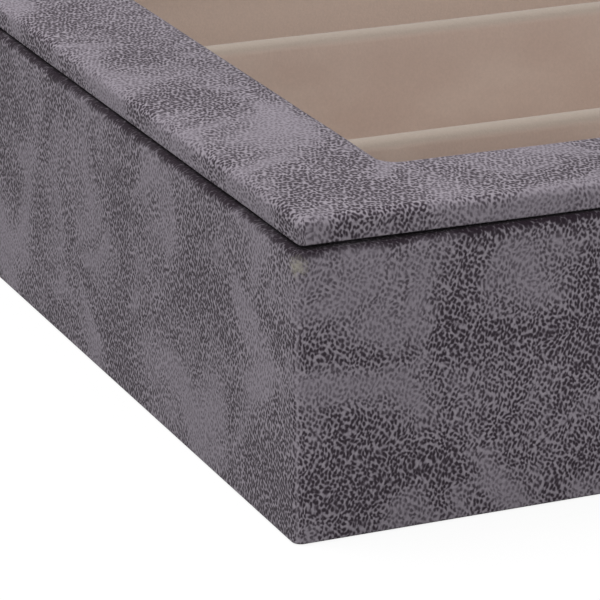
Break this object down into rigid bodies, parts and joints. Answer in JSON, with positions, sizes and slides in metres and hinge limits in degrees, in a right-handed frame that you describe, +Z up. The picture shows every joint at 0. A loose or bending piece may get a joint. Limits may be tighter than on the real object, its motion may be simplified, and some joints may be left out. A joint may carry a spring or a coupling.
{
  "type": "jewelry tray",
  "caption": "Low rectangular tray for jewelry: a leather-cloth covered board box with a flat window frame on top and velvet-lined rows between long dividers.",
  "frame": {"origin": "centre of the footprint, on the surface that the tray stands on", "axes": "+X along the long side and the rows, +Y to the back, +Z up"},
  "size_m": [0.3, 0.2, 0.05],
  "materials": {
    "board": "raw fibreboard",
    "leather_cloth": "matt suede-look grain",
    "card": "raw grey board",
    "wadding": "soft fibre",
    "velvet": "short matt pile",
    "felt": "matt pressed felt"
  },
  "bodies": {
    "root": {"front_wall": "board", "back_wall": "board", "left_wall": "board", "right_wall": "board", "base_board": "board", "frame_board": "board", "box_wrap": "leather_cloth", "frame_wrap": "leather_cloth", "base_felt": "felt", "front_lining_card": "card", "front_lining_velvet": "velvet", "back_lining_card": "card", "back_lining_velvet": "velvet", "left_lining_card": "card", "left_lining_velvet": "velvet", "right_lining_card": "card", "right_lining_velvet": "velvet", "front_floor_card": "card", "front_floor_wadding": "wadding", "front_floor_velvet": "velvet", "middle_floor_card": "card", "middle_floor_wadding": "wadding", "middle_floor_velvet": "velvet", "back_floor_card": "card", "back_floor_wadding": "wadding", "back_floor_velvet": "velvet", "front_divider_card": "card", "front_divider_velvet": "velvet", "back_divider_card": "card", "back_divider_velvet": "velvet"}
  },
  "joints": []
}
